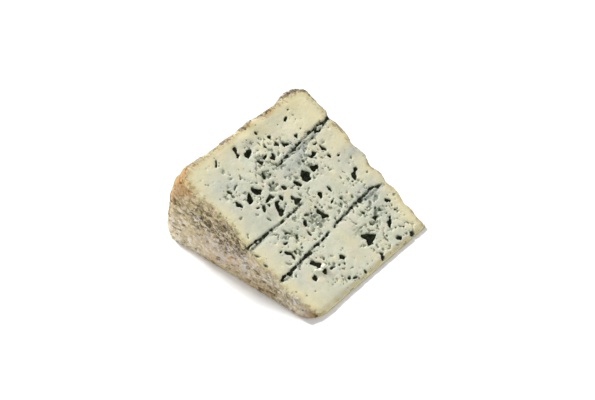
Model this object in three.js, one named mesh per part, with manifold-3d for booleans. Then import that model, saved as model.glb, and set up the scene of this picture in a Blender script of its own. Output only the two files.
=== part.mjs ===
import * as THREE from 'three';
import { mergeVertices } from 'three/addons/utils/BufferGeometryUtils.js';
import Module from 'manifold-3d';

// A wedge cut from a wheel of blue-veined cheese with a natural rind, lying on one of its two
// cut faces. Millimetres, +Z up.
//
// The wedge is shaped with the wheel's axis along Y, through the line where its two cut faces
// would meet. The wheel's rim is towards -X, the front flat rind face is at y = 0 and the back
// one at y = WHEEL_HEIGHT. The finished mesh is then moved so that the origin is the centre of
// the footprint.

// Driving dimensions.
const WHEEL_RADIUS = 100;
const WHEEL_HEIGHT = 90;
const WEDGE_ANGLE = THREE.MathUtils.degToRad(28.5);
const RIND_EDGE_RADIUS = 7; // rounding where the wheel's flat faces turn into its rim
const TIP_CUT = 3.6; // distance from the wheel's axis to the blunt tip
const TIP_CORNER_RADIUS = 10; // worn corner between the front rind face and the blunt tip

// How finely the round surfaces are divided.
const WHEEL_SEGMENTS = 240;
const EDGE_STEPS = 5;
const CORNER_STEPS = 6;

// Cutting bodies reach past the wheel by this much on every open side.
const OVERSHOOT = 20;

const wasm = await Module();
wasm.setup();

// Turns a closed three.js geometry into a solid that can be cut and joined.
function toSolid(geometry) {
  const bare = geometry.clone();
  bare.deleteAttribute('normal');
  bare.deleteAttribute('uv');
  const merged = mergeVertices(bare);
  return new wasm.Manifold(new wasm.Mesh({
    numProp: 3,
    vertProperties: Float32Array.from(merged.attributes.position.array),
    triVerts: Uint32Array.from(merged.index.array),
  }));
}

// Turns a solid back into a geometry with a sharp edge at each facet.
function toGeometry(solid) {
  const mesh = solid.getMesh();
  const indexed = new THREE.BufferGeometry();
  indexed.setAttribute('position', new THREE.BufferAttribute(mesh.vertProperties, 3));
  indexed.setIndex(new THREE.BufferAttribute(mesh.triVerts, 1));
  const geometry = indexed.toNonIndexed();
  geometry.computeVertexNormals();
  return geometry;
}

// The whole wheel: flat faces, straight rim and two rounded edges, turned about Y.
function wheelGeometry() {
  const shoulder = WHEEL_RADIUS - RIND_EDGE_RADIUS;
  const profile = new THREE.Path();
  profile.moveTo(0, 0);
  profile.lineTo(shoulder, 0);
  profile.absarc(shoulder, RIND_EDGE_RADIUS, RIND_EDGE_RADIUS, -Math.PI / 2, 0);
  profile.lineTo(WHEEL_RADIUS, WHEEL_HEIGHT - RIND_EDGE_RADIUS);
  profile.absarc(shoulder, WHEEL_HEIGHT - RIND_EDGE_RADIUS, RIND_EDGE_RADIUS, 0, Math.PI / 2);
  profile.lineTo(0, WHEEL_HEIGHT);
  return new THREE.LatheGeometry(profile.getPoints(EDGE_STEPS), WHEEL_SEGMENTS);
}

// The room between the two cuts, seen along the wheel's axis: the lower cut lies flat at z = 0,
// the upper one rises from the tip, and the tip stops short of the axis.
function cutsGeometry() {
  const reach = WHEEL_RADIUS + OVERSHOOT;
  const slope = Math.tan(WEDGE_ANGLE);
  const section = new THREE.Shape();
  section.moveTo(-TIP_CUT, 0);
  section.lineTo(-TIP_CUT, TIP_CUT * slope);
  section.lineTo(-reach, reach * slope);
  section.lineTo(-reach, 0);
  section.closePath();
  const depth = WHEEL_HEIGHT + 2 * OVERSHOOT;
  const geometry = new THREE.ExtrudeGeometry(section, { depth, bevelEnabled: false });
  geometry.rotateX(Math.PI / 2);
  geometry.translate(0, WHEEL_HEIGHT + OVERSHOOT, 0);
  return geometry;
}

// The footprint seen from above, with the one tip corner that has worn round.
function footprintGeometry() {
  const reach = WHEEL_RADIUS + OVERSHOOT;
  const centreX = -TIP_CUT - TIP_CORNER_RADIUS;
  const outline = new THREE.Shape();
  outline.moveTo(-reach, 0);
  outline.lineTo(centreX, 0);
  outline.absarc(centreX, TIP_CORNER_RADIUS, TIP_CORNER_RADIUS, -Math.PI / 2, 0);
  outline.lineTo(-TIP_CUT, WHEEL_HEIGHT + OVERSHOOT);
  outline.lineTo(-reach, WHEEL_HEIGHT + OVERSHOOT);
  outline.closePath();
  const depth = WHEEL_RADIUS + 2 * OVERSHOOT;
  const options = { depth, bevelEnabled: false, curveSegments: CORNER_STEPS };
  const geometry = new THREE.ExtrudeGeometry(outline, options);
  geometry.translate(0, 0, -OVERSHOOT);
  return geometry;
}

const wedgeSolid = toSolid(wheelGeometry())
  .intersect(toSolid(cutsGeometry()))
  .intersect(toSolid(footprintGeometry()));

const cheese = new THREE.MeshStandardMaterial({
  color: 0xdcd9bd,
  roughness: 0.62,
  metalness: 0,
});

const wedge = new THREE.Mesh(toGeometry(wedgeSolid), cheese);
wedge.name = 'cheese_wedge';
wedge.position.set((WHEEL_RADIUS + TIP_CUT) / 2, -WHEEL_HEIGHT / 2, 0);

const group = new THREE.Group();
group.add(wedge);

export default group;
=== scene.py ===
"""A wedge of blue-veined cheese with a natural rind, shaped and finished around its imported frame.

The wedge is one grown piece. Its body is a sector of the wheel, hollowed by mould pockets and
piercing channels, skinned to an even fine mesh, then weathered and dressed.
"""

import logging
import math
from collections.abc import Callable
from dataclasses import dataclass
from enum import Enum

import bmesh
import bpy
import numpy as np
from mathutils import Matrix, Vector, kdtree, noise


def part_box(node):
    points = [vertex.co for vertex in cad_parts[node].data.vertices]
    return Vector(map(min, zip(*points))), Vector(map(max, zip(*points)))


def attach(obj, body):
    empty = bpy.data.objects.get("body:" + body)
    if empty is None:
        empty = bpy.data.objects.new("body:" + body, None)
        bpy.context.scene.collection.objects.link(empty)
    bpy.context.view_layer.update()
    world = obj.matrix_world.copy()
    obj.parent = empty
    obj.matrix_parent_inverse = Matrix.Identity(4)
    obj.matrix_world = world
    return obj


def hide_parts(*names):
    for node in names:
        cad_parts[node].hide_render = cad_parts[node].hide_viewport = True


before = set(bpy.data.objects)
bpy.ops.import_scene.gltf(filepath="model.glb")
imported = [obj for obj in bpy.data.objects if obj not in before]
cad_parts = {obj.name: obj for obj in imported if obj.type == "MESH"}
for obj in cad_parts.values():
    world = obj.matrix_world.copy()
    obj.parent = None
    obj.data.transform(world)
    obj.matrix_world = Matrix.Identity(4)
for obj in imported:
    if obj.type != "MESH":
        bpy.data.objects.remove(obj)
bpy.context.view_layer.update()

MM = 0.001  # metres
ALONG = Vector((0.0, 1.0, 0.0))  # the way of the wheel's axis

FAR_GAP = 12.0  # millimetres, past which the distance to a hollow makes no difference
LUMP_WAVE = 1.3  # how finely a lump's surface strays, in waves across its radius
ARM_POINT = 7.0  # how sharply a pocket's arms narrow
POCKET_LIP = 0.20  # millimetres by which a pocket's mouth is wider than its dark lining
POCKET_ROOM = 0.40  # share of the wedge's thickness that a pocket reaches down at most
BROAD_POCKET = 1.3 * MM  # from where a pocket has a finer surface
GRAIN_RADIUS = 0.06  # metres from the wheel's axis where the rind's grain keeps its true width

log = logging.getLogger("cheese")

# What feeds a node's input: another node's output, a number or a colour.
Feed = bpy.types.NodeSocket | float | tuple
# Layers of noise: each a height and a wave in millimetres, a number of octaves and a seed.
Layers = tuple[tuple[float, float, int, float], ...]


def srgb(red: int, green: int, blue: int) -> tuple[float, float, float, float]:
    """Turns a display colour of 0 to 255 into the linear colour that shaders take.

    Args:
        red: Red channel.
        green: Green channel.
        blue: Blue channel.

    Returns:
        Linear red, green, blue and an alpha of one.
    """
    def linear(channel: int) -> float:
        """One channel, by the display standard's curve."""
        value = channel / 255
        return value / 12.92 if value <= 0.04045 else ((value + 0.055) / 1.055) ** 2.4

    return linear(red), linear(green), linear(blue), 1.0


def smooth(low: float, high: float, value: np.ndarray) -> np.ndarray:
    """A soft step from 0 at low to 1 at high."""
    share = np.clip((value - low) / (high - low), 0.0, 1.0)
    return share * share * (3.0 - 2.0 * share)


class Cut(Enum):
    """The wedge's two knife cuts, by how far round the sector they stand."""

    LOWER = 0.0
    UPPER = 1.0


@dataclass(frozen=True)
class Wheel:
    """The wheel of cheese that the wedge was cut from, in the part's frame, in metres.

    A place on it is a share of the radius from the axis, a level along the axis from the front
    flat face to the back one, and a rise round the sector from the lower cut to the upper one.
    """

    axis_x: float
    front_y: float
    radius: float
    height: float
    angle: float
    tip_cut: float
    edge_round: float
    corner_round: float

    @classmethod
    def from_box(cls, low: Vector, high: Vector, tip_cut: float, edge_round: float,
                 corner_round: float) -> "Wheel":
        """Works the wheel out from the wedge's box.

        Args:
            low: The wedge's lowest corner.
            high: The wedge's highest corner.
            tip_cut: Distance from the wheel's axis to the blunt tip.
            edge_round: Radius where a flat face turns into the rim.
            corner_round: Radius of the worn front corner at the tip.

        Returns:
            The wheel.
        """
        radius = high.x - low.x + tip_cut
        return cls(high.x + tip_cut, low.y, radius, high.y - low.y,
                   math.asin(high.z / radius), tip_cut, edge_round, corner_round)

    def point(self, share: float, level: float, rise: float) -> Vector:
        """Finds a place in the part's frame.

        Args:
            share: Share of the radius.
            level: Level along the wheel's axis.
            rise: Share of the angle.

        Returns:
            The point in metres.
        """
        reach, turn = share * self.radius, rise * self.angle
        return Vector((self.axis_x - reach * math.cos(turn),
                       self.front_y + level * self.height, reach * math.sin(turn)))

    def placing(self, cut: Cut, share: float, level: float, turn: float) -> Matrix:
        """A matrix that puts a shape on a cut face.

        Args:
            cut: Which cut face.
            share: Share of the radius.
            level: Level along the wheel's axis.
            turn: Turn in the face, in degrees.

        Returns:
            The matrix. Its Z axis points out of the face and its Y axis along the wheel's axis.
        """
        if cut is Cut.UPPER:
            across = Vector((math.cos(self.angle), 0.0, -math.sin(self.angle)))
        else:
            across = Vector((-1.0, 0.0, 0.0))
        basis = Matrix((across, ALONG, across.cross(ALONG))).transposed()
        return (Matrix.Translation(self.point(share, level, cut.value)) @ basis.to_4x4()
                @ Matrix.Rotation(math.radians(turn), 4, "Z"))

    def thickness(self, share: float) -> float:
        """How thick the wedge is at a share of the radius."""
        return share * self.radius * math.tan(self.angle)


@dataclass(frozen=True)
class Depths:
    """How deep each point lies under the sector's faces, in millimetres."""

    rind: np.ndarray
    upper: np.ndarray
    lower: np.ndarray
    tip: np.ndarray
    level: np.ndarray

    @classmethod
    def of(cls, wheel: Wheel, points: np.ndarray) -> "Depths":
        """Measures points against the wheel's smooth shape.

        Args:
            wheel: The wheel.
            points: One row of x, y, z in metres for each point.

        Returns:
            The depths.
        """
        x = (points[:, 0] - wheel.axis_x) / MM
        y = (points[:, 1] - wheel.front_y) / MM
        z = points[:, 2] / MM
        radius, height = wheel.radius / MM, wheel.height / MM
        rounding, corner = wheel.edge_round / MM, wheel.corner_round / MM
        past_rim = np.hypot(x, z) - (radius - rounding)
        past_face = np.abs(y - height / 2) - (height / 2 - rounding)
        outside = np.hypot(np.maximum(past_rim, 0.0), np.maximum(past_face, 0.0))
        rind = rounding - outside - np.minimum(np.maximum(past_rim, past_face), 0.0)
        tip_x = -wheel.tip_cut / MM
        in_corner = np.hypot(np.maximum(x - (tip_x - corner), 0.0), np.maximum(corner - y, 0.0))
        worn = (x > tip_x - corner) & (y < corner)
        rind = np.where(worn, np.minimum(rind, corner - in_corner), rind)
        upper = -(x * math.sin(wheel.angle) + z * math.cos(wheel.angle))
        return cls(rind, upper, z, tip_x - x, y / height)

    def least(self) -> np.ndarray:
        """Depth under the nearest face of any kind."""
        return np.minimum(np.minimum(self.rind, self.upper), np.minimum(self.lower, self.tip))


@dataclass(frozen=True)
class Patch:
    """A soft round patch of some quality at a place on the wheel, its size in millimetres."""

    share: float
    level: float
    size: float
    weight: float
    rise: float = Cut.UPPER.value


def patches(*rows: tuple[float, ...]) -> tuple[Patch, ...]:
    """Makes patches of rows that hold a share, a level, a size, a weight and perhaps a rise."""
    return tuple(Patch(*row) for row in rows)


def patchwork(wheel: Wheel, points: np.ndarray, spots: tuple[Patch, ...]) -> np.ndarray:
    """Adds up soft patches over points.

    Args:
        wheel: The wheel that the patches are placed on.
        points: One row of x, y, z in metres for each point.
        spots: The patches.

    Returns:
        One value for each point.
    """
    total = np.zeros(len(points))
    for spot in spots:
        centre = np.array(wheel.point(spot.share, spot.level, spot.rise))
        gap = np.linalg.norm(points - centre, axis=1) / MM
        total += spot.weight * np.exp(-((gap / spot.size) ** 2))
    return total


@dataclass(frozen=True)
class Opening:
    """A mould pocket that a cut laid open: a core with pointed arms, in millimetres.

    Each arm is its turn in degrees, from towards the tip round by the back, and its reach from
    the middle. A pocket with no depth given is about as deep as it is wide.
    """

    share: float
    level: float
    core: float
    arms: tuple[tuple[float, float], ...] = ()
    depth: float = 0.0


@dataclass(frozen=True)
class Channel:
    """A piercing channel's thread that a cut laid open along a path of shares and levels.

    It shows as a dark crumbly thread in a powdery band. Band and thread are their widths in
    millimetres.
    """

    path: tuple[tuple[float, float], ...]
    band: float
    thread: float


UPPER_OPENINGS = tuple(Opening(*row) for row in (
    # Between the rim and the first channel.
    (0.895, 0.761, 0.4, ((115, 2.2), (-62, 1.3))), (0.928, 0.818, 0.55, ((80, 0.9),)),
    (0.796, 0.738, 0.75, ((110, 1.6), (-150, 1.3), (-20, 1.4))), (0.812, 0.795, 0.45),
    (0.797, 0.64, 0.85, ((65, 3), (200, 1.5), (-50, 1.6))),
    (0.822, 0.601, 0.8, ((165, 1.6), (20, 1.5), (-95, 1.5), (75, 1.1))),
    (0.872, 0.598, 0.6, ((200, 1.1), (90, 1.2))), (0.925, 0.548, 0.42, ((170, 1.5),)),
    (0.779, 0.523, 0.85, ((140, 2.7), (-20, 1.7), (-115, 2.2))),
    (0.806, 0.49, 0.55, ((115, 1.7), (-75, 2.4))),
    (0.795, 0.439, 0.85, ((200, 2.2), (80, 1.7), (-10, 1.2), (-70, 1.3))),
    (0.87, 0.419, 1.3, ((110, 3.1), (-50, 2.8), (-100, 2.7))),
    (0.926, 0.368, 1.15, ((150, 2), (-30, 2.3), (-100, 1.4))),
    (0.894, 0.358, 0.8, ((180, 2.2), (-50, 2.2), (60, 1.1))),
    (0.922, 0.215, 0.36, ((140, 2.1), (-45, 2.2))),
    (0.797, 0.273, 0.4, ((160, 1.9), (-20, 1.3), (-60, 1.5)), 0.6),
    (0.776, 0.207, 0.36, ((100, 1.9), (-60, 2.4)), 0.7),
    (0.771, 0.154, 0.62, ((200, 1.5), (40, 1.5))),
    (0.745, 0.152, 0.45, ((170, 1.4), (10, 1.2)), 0.7),
    # Between the first and the second channel.
    (0.706, 0.802, 0.52, ((110, 1.1), (-60, 1.2))),
    (0.667, 0.816, 0.95, ((185, 2.1), (28, 2.9), (-40, 1.3))),
    (0.612, 0.818, 0.78, ((175, 1.5), (-10, 1.5))), (0.589, 0.867, 0.58, ((90, 1.3), (-95, 1.1))),
    (0.672, 0.746, 1.15, ((75, 2.1), (175, 1.8), (-60, 2.1))),
    (0.671, 0.715, 0.8, ((200, 1.6), (20, 1.7)), 0.8), (0.674, 0.66, 0.6),
    (0.614, 0.677, 1.45, ((83, 4), (-25, 2.1), (185, 2.1), (-95, 1.8))),
    (0.608, 0.601, 2.45, ((178, 3.4), (90, 3.5), (35, 3), (-14, 3.1), (-55, 3.5))),
    (0.603, 0.526, 1.05, ((205, 2.5), (35, 2.7))),
    (0.731, 0.394, 0.72, ((165, 2.3), (-35, 1.8), (60, 1))),
    (0.629, 0.441, 1.15, ((20, 1.5), (200, 1.4))), (0.562, 0.44, 0.9, ((180, 1.4), (20, 1.9))),
    (0.539, 0.447, 0.95, ((70, 2.3), (-60, 2.1), (120, 1.6))), (0.681, 0.412, 0.42, ((90, 0.9),)),
    (0.681, 0.382, 0.42, ((-80, 0.9),)), (0.597, 0.383, 0.9, ((165, 1.8), (-15, 1.6))),
    (0.592, 0.354, 0.48), (0.575, 0.354, 0.42), (0.577, 0.327, 1, ((150, 3.1), (-25, 2.8))),
    (0.547, 0.319, 1.35, ((100, 2.2), (-35, 2.4), (10, 1.9))),
    (0.632, 0.316, 0.55, ((108, 2.6), (-72, 2.7))),
    (0.692, 0.296, 1.4, ((70, 2.2), (-90, 1.9), (0, 1.7), (-150, 2.2))),
    (0.711, 0.277, 0.9, ((160, 1.7), (-30, 1.5), (60, 2))), (0.661, 0.277, 0.48, ((0, 1.1),)),
    (0.688, 0.227, 1.25, ((145, 3.1), (-45, 2.6), (10, 2), (-80, 1.8))),
    (0.605, 0.252, 0.9, ((140, 2.2), (-45, 2.2), (-150, 1.1))),
    (0.696, 0.144, 0.75, ((175, 2.5), (25, 2.8), (-100, 1.6), (80, 1.4))),
    (0.553, 0.227, 0.5, ((20, 1.7), (200, 1.5)), 0.7),
    (0.628, 0.224, 0.45, ((80, 1.3), (-100, 1.2))),
    # Between the second channel and the third.
    (0.487, 0.663, 0.9, ((0, 2.3), (180, 1.8), (90, 1))),
    (0.49, 0.59, 1.3, ((-30, 2.5), (120, 2.1), (180, 1.8), (60, 1.2))),
    (0.481, 0.889, 0.8, ((120, 1.7), (60, 1.3), (-60, 1.6))),
    (0.456, 0.85, 1.1, ((130, 2.6), (-30, 2.3), (180, 1.8), (-110, 1.4))),
    (0.432, 0.937, 0.5, (), 0.7), (0.427, 0.618, 0.48, ((110, 1.6), (-70, 1.3))),
    (0.411, 0.679, 0.7, ((120, 1.3), (-120, 1.3)), 0.8),
    (0.402, 0.513, 1.25, ((190, 3.8), (45, 3.4), (-60, 1.6))),
    (0.457, 0.433, 0.5, ((60, 1.9), (-100, 1.7)), 0.8),
    (0.425, 0.386, 0.9, ((130, 2), (-10, 1.3), (180, 1.1))),
    (0.374, 0.363, 0.42, ((180, 1.6), (10, 1.4))), (0.354, 0.216, 0.58),
    (0.41, 0.204, 0.42, ((85, 1.6), (-105, 1.3))), (0.394, 0.143, 0.45, ((90, 1.2), (-100, 1.1))),
    (0.37, 0.172, 0.85, ((-145, 1.8), (35, 2.6))), (0.337, 0.186, 0.45, ((180, 2), (-20, 1.7))),
    (0.435, 0.266, 0.45, ((90, 1.2),), 0.7),
    # Between the third channel and the tip.
    (0.259, 0.906, 0.85, ((60, 2), (200, 1.4), (-70, 1.5))),
    (0.166, 0.815, 1.45, ((125, 2.4), (-55, 3.1), (-10, 1.3))), (0.186, 0.844, 0.58),
    (0.076, 0.794, 1.15, ((90, 1.8), (-110, 1.9), (180, 1.3), (0, 1.4))),
    (0.23, 0.762, 0.8, ((95, 2.2), (-50, 1.5), (-125, 1.3))), (0.285, 0.727, 0.75),
    (0.246, 0.825, 0.5, ((150, 1.5), (30, 1.7), (-80, 1.5)), 0.8),
    (0.219, 0.713, 0.5, ((170, 1.6), (20, 1.7)), 0.8), (0.194, 0.738, 0.42, ((-20, 1.3),), 0.7),
    (0.167, 0.635, 1.9, ((80, 4.5), (146, 2.9), (212, 4.5), (-46, 3.3))),
    (0.058, 0.618, 0.75, ((150, 1.4), (-45, 1.7), (90, 1.3))), (0.103, 0.869, 0.48),
    (0.048, 0.88, 1.4, ((180, 2.3), (0, 1.8))), (0.058, 0.469, 0.6, ((180, 1.5),)),
    (0.188, 0.419, 1.1, ((45, 1.8), (200, 1.4), (-90, 1.5))), (0.087, 0.36, 0.75),
    (0.073, 0.382, 0.42, ((75, 2.3),)), (0.252, 0.252, 1.05, ((-130, 2.3), (150, 1.5), (20, 2.2))),
    (0.229, 0.27, 1.3, ((60, 1.7), (-60, 1.6), (200, 1.8))), (0.211, 0.305, 0.52, ((170, 1.1),)),
    (0.186, 0.268, 0.95, ((120, 2.1), (0, 1.5), (-130, 1.5))), (0.236, 0.321, 0.48),
    (0.194, 0.193, 1.2, ((130, 2.1), (-30, 1.7), (50, 1.7), (-140, 1.3))),
    (0.178, 0.332, 0.42, ((60, 1.6), (-120, 1.4)), 0.7), (0.143, 0.137, 0.48, (), 0.6),
    (0.452, 0.014, 0.4, ((31, 1.8), (211, 1.6)), 0.7),
    (0.39, 0.016, 0.4, ((14, 1.6), (194, 1.3)), 0.7),
))

# The upper cut's first channel shows as threads side by side.
CHANNELS = {Cut.UPPER: (
    Channel(((0.782, 1.01), (0.770, 0.95), (0.768, 0.90), (0.762, 0.85), (0.768, 0.81),
             (0.762, 0.76)), 2.1, 1.02),
    Channel(((0.762, 0.77), (0.758, 0.71), (0.752, 0.66), (0.747, 0.61)), 1.8, 0.84),
    Channel(((0.747, 0.61), (0.740, 0.57), (0.733, 0.52), (0.727, 0.49)), 1.8, 1.20),
    Channel(((0.773, 1.00), (0.760, 0.95), (0.755, 0.92), (0.747, 0.88), (0.752, 0.86),
             (0.740, 0.82), (0.742, 0.77), (0.738, 0.72), (0.739, 0.68), (0.742, 0.64)),
            1.9, 0.80),
    Channel(((0.780, 0.93), (0.778, 0.88), (0.770, 0.85), (0.779, 0.80)), 1.3, 0.62),
    Channel(((0.509, -0.02), (0.508, 0.06), (0.507, 0.14), (0.508, 0.18), (0.503, 0.25),
             (0.507, 0.33), (0.509, 0.39), (0.512, 0.46)), 1.4, 0.96),
    Channel(((0.490, -0.01), (0.492, 0.06), (0.496, 0.12), (0.502, 0.17)), 1.7, 0.85),
    Channel(((0.334, 0.96), (0.344, 0.925), (0.357, 0.886), (0.354, 0.836), (0.349, 0.797),
             (0.349, 0.752), (0.347, 0.707), (0.340, 0.663), (0.337, 0.618), (0.334, 0.579),
             (0.332, 0.540), (0.322, 0.515)), 1.7, 1.10),
    Channel(((0.337, 0.93), (0.334, 0.88), (0.328, 0.84), (0.336, 0.79), (0.343, 0.75)), 1.5, 0.70),
    Channel(((0.322, 0.464), (0.314, 0.422), (0.310, 0.377), (0.312, 0.332), (0.309, 0.291),
             (0.301, 0.266), (0.301, 0.221), (0.296, 0.171), (0.293, 0.137), (0.291, 0.09),
             (0.292, 0.053), (0.286, 0.020)), 1.5, 1.20),
    Channel(((0.296, 0.29), (0.295, 0.25), (0.300, 0.22)), 1.2, 0.80),
    Channel(((0.286, 0.110), (0.279, 0.085), (0.276, 0.05), (0.283, 0.025)), 1.3, 0.85),
), Cut.LOWER: (
    Channel(((0.640, -0.02), (0.652, 0.14), (0.645, 0.31), (0.660, 0.46)), 2.2, 1.3),
    Channel(((0.430, 1.02), (0.422, 0.83), (0.436, 0.66), (0.428, 0.55)), 1.5, 1.2),
    Channel(((0.830, 1.02), (0.822, 0.88), (0.835, 0.70)), 2.0, 1.3),
)}

# Where each quality of the paste and the rind is strong. A negative weight clears the paste of
# specks.
ZONES = {
    "ripe": patches(
        (0.9, 0.9, 17, 0.75), (0.66, 0.97, 12, 0.8), (0.94, 0.6, 12, 0.6), (0.12, 0.08, 16, 0.4),
        (0.45, 0.98, 7, 0.5), (0.64, 0.04, 12, 0.45), (0.2, 0.52, 10, 0.35), (0.14, 0.95, 10, 0.5),
        (0.95, 0.2, 14, 0.45), (0.52, 0.75, 9, 0.25), (0.04, 0.6, 7, 0.3), (0.78, 0.8, 8, 0.2),
    ),
    "bloom": patches(
        (0.7, 0.565, 6, 0.65), (0.74, 0.7, 5, 0.6), (0.34, 0.82, 5, 0.8), (0.54, 0.97, 5, 0.8),
        (0.54, 0.88, 5, 0.45), (0.74, 0.86, 4, 0.45), (0.7, 0.63, 4, 0.55), (0.79, 0.18, 6, 0.55),
        (0.26, 0.12, 6, 0.45), (0.6, 0.15, 10, 0.3), (0.8, 0.1, 9, 0.25),
    ),
    "smear": patches(
        (0.42, 0.445, 3.6, 1), (0.4, 0.47, 2.6, 0.7), (0.68, 0.63, 2.4, 0.55),
        (0.64, 0.635, 2, 0.45), (0.23, 0.62, 2.4, 0.6), (0.26, 0.615, 2, 0.45),
        (0.41, 0.683, 2.2, 0.6), (0.63, 0.545, 2.2, 0.5), (0.575, 0.255, 2.2, 0.5),
        (0.24, 0.83, 2.4, 0.55), (0.585, 0.705, 1.8, 0.5), (0.69, 0.555, 2.4, 0.45),
    ),
    "speck": patches(
        (0.66, 0.55, 16, 0.55), (0.7, 0.22, 12, 0.55), (0.62, 0.78, 9, 0.3), (0.2, 0.76, 14, 0.55),
        (0.38, 0.6, 10, 0.35), (0.24, 0.3, 10, 0.35), (0.42, 0.42, 8, 0.45), (0.36, 0.2, 8, 0.4),
        (0.82, 0.52, 10, 0.45), (0.46, 0.85, 8, 0.25), (0.06, 0.62, 8, 0.3), (0.08, 0.4, 7, 0.35),
        (0.88, 0.88, 13, -0.8), (0.66, 0.95, 9, -0.7), (0.53, 0.62, 5, -0.6),
        (0.53, 0.72, 5, -0.6), (0.53, 0.84, 6, -0.6), (0.43, 0.96, 6, -0.5), (0.2, 0.51, 9, -0.75),
        (0.12, 0.12, 12, -0.8), (0.62, 0.06, 12, -0.6), (0.88, 0.25, 11, -0.45),
        (0.4, 0.04, 10, -0.5), (0.9, 0.62, 7, -0.55),
    ),
    "rust": patches(
        (0.98, 0.02, 8, 1.5, 0.88), (0.93, 0, 4, 0.9, 0.92), (0.99, 0.02, 6, 0.8, 0.62),
        (1, 0.36, 8, 0.2), (0.97, 0.72, 2.8, 0.7), (0.955, 0.504, 2.5, 0.4),
        (0.052, 0.03, 4, 1, 0.9), (0.7, 0, 5, 0.25, 0.18), (0.59, 0, 5, 0.25, 0.26),
        (0.8, 1, 14, 0.5, 0.5), (1, 0.55, 13, 0.4, 0.8), (1, 0.85, 12, 0.5, 0.3),
        (0.35, 1, 9, 0.5, 0.6),
    ),
    # Dark rind: real brown mottling and marks by the front face's upper edge, and, in the broad
    # patches on the rim and the back face, painted shade that darkens the faces the key lamp lights
    # hardest.
    "dark": patches(
        (0.9, 0, 6, 0.5, 0.62), (0.8, 0, 7, 1, 0.72), (0.72, 0, 7, 1, 0.72), (0.62, 0, 7, 1, 0.74),
        (0.55, 0, 7, 1, 0.8), (0.99, 0.01, 5, 0.8, 0.5), (0.97, 0, 5, 0.6, 0.35),
        (0.35, 0, 5, 0.5, 0.8), (0.2, 0, 5, 0.4, 0.8), (0.4, 0, 6, 0.5, 0.35),
        (0.28, 0, 6, 0.5, 0.3), (1, 0.6, 32, 0.7, 0.5), (0.6, 1, 40, 0.6, 0.5),
        (0.7, 1, 14, 0.4, 0.4), (1, 0.3, 14, 0.6, 0.5), (1, 0.75, 12, 0.5, 0.7),
        (0.4, 1, 9, 0.5, 0.7), (1, 0.9, 5, 1), (1, 0.64, 6, 0.8), (1, 0.46, 6, 0.8),
        (1, 0.28, 5, 0.8),
    ),
    "mauve": patches(
        (0.7, 0, 8, 0.7, 0.42), (0.6, 0, 8, 0.9, 0.45), (0.5, 0, 8, 1, 0.55),
        (0.36, 0, 8, 0.4, 0.55), (0.1, 0.005, 3.5, 1, 0.9), (0.55, 1, 14, 0.7, 0.5),
        (1, 0.55, 14, 0.6, 0.2), (1, 0.38, 9, 0.6), (1, 0.62, 7, 0.5), (1, 0.86, 8, 0.5),
    ),
    "pale": patches(
        (0.97, 0, 9, 1, 0.12), (0.89, 0, 9, 1, 0.14), (0.82, 0, 4, 0.8, 0.6),
        (0.74, 0, 8, 0.6, 0.12), (0.66, 0, 4, 0.5, 0.46), (0.46, 0, 7, 0.8, 0.55),
        (0.33, 0, 7, 0.7, 0.7), (0.22, 0, 7, 0.8, 0.6), (0.15, 0, 5, 0.6, 0.5),
        (1, 0.15, 12, 0.6, 0.3), (0.85, 1, 12, 0.7, 0.3), (1, 0.7, 12, 0.6, 0.15),
    ),
}

# Where paste shows past the rind's edge (positive) or rind creeps onto the cut, in millimetres.
BARE_PATCHES = patches(
    (0.03, 0.11, 5, 3, 0.6), (0.03, 0.22, 5, 2, 0.8), (0.93, 0, 5, 1.6, 0.92),
    (0.83, 0, 5, 1.5, 0.92), (0.73, 0, 4, 0.8, 0.95), (0.6, 0, 4, 0.6, 0.97),
    (0.095, 0.02, 3, -1.6, 0.9), (0.16, 0.01, 4, -1), (0.99, 0.05, 4, -0.8), (0.67, 0, 3, -0.6),
    (1, 0.92, 5, -1.8), (1, 0.8, 4, -0.8), (1, 0.67, 6, -2.2), (1, 0.5, 5, -2.4),
    (1, 0.33, 5, -1.8), (1, 0.18, 4, -0.8), (0.4, 0, 5, 1.2), (0.26, 0, 6, 0.8),
)

# Where the rind stands proud (positive) or sinks (negative), in millimetres.
BULGE_PATCHES = patches(
    (1, 0.03, 10, 1.3, 0.8), (1, 0.03, 11, 1.5, 0.45), (1, 0.06, 9, 0.8, 0.1), (1, 0.88, 5.5, 1.4),
    (0.97, 0.99, 6, 0.6), (1, 0.76, 3.5, -0.9), (1, 0.55, 6, 0.5), (0.7, 0, 12, 0.4, 0.3),
)

# Where the upper cut stands proud (positive) or sinks (negative), in millimetres.
RELIEF_PATCHES = patches(
    (0.96, 0.62, 5.5, 0.8), (0.905, 0.56, 4, -0.8), (0.93, 0.48, 4, 0.7), (0.895, 0.45, 3, -0.6),
    (0.96, 0.35, 5, 0.6), (0.9, 0.75, 6, -0.5), (0.96, 0.85, 5, 0.5), (0.62, 0.92, 7, 0.3),
    (0.5, 0.7, 7, 0.3), (0.12, 0.15, 8, 0.3),
)

# Dents in the back rind's upper edge: share of the radius, depth and width in millimetres.
BACK_DENTS = (
    (0.905, 0.7, 3.0), (0.770, 0.8, 3.2), (0.585, 1.7, 3.6), (0.448, 2.2, 3.6),
    (0.330, 1.6, 3.4), (0.205, 1.6, 4.0), (0.100, 1.0, 5.0),
)


def object_of(name: str, shape: bmesh.types.BMesh) -> bpy.types.Object:
    """Turns a bmesh into a linked object at the origin and frees the bmesh.

    Args:
        name: The object's name.
        shape: The bmesh.

    Returns:
        The object.
    """
    mesh = bpy.data.meshes.new(name)
    shape.to_mesh(mesh)
    shape.free()
    piece = bpy.data.objects.new(name, mesh)
    bpy.context.scene.collection.objects.link(piece)
    return piece


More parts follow.
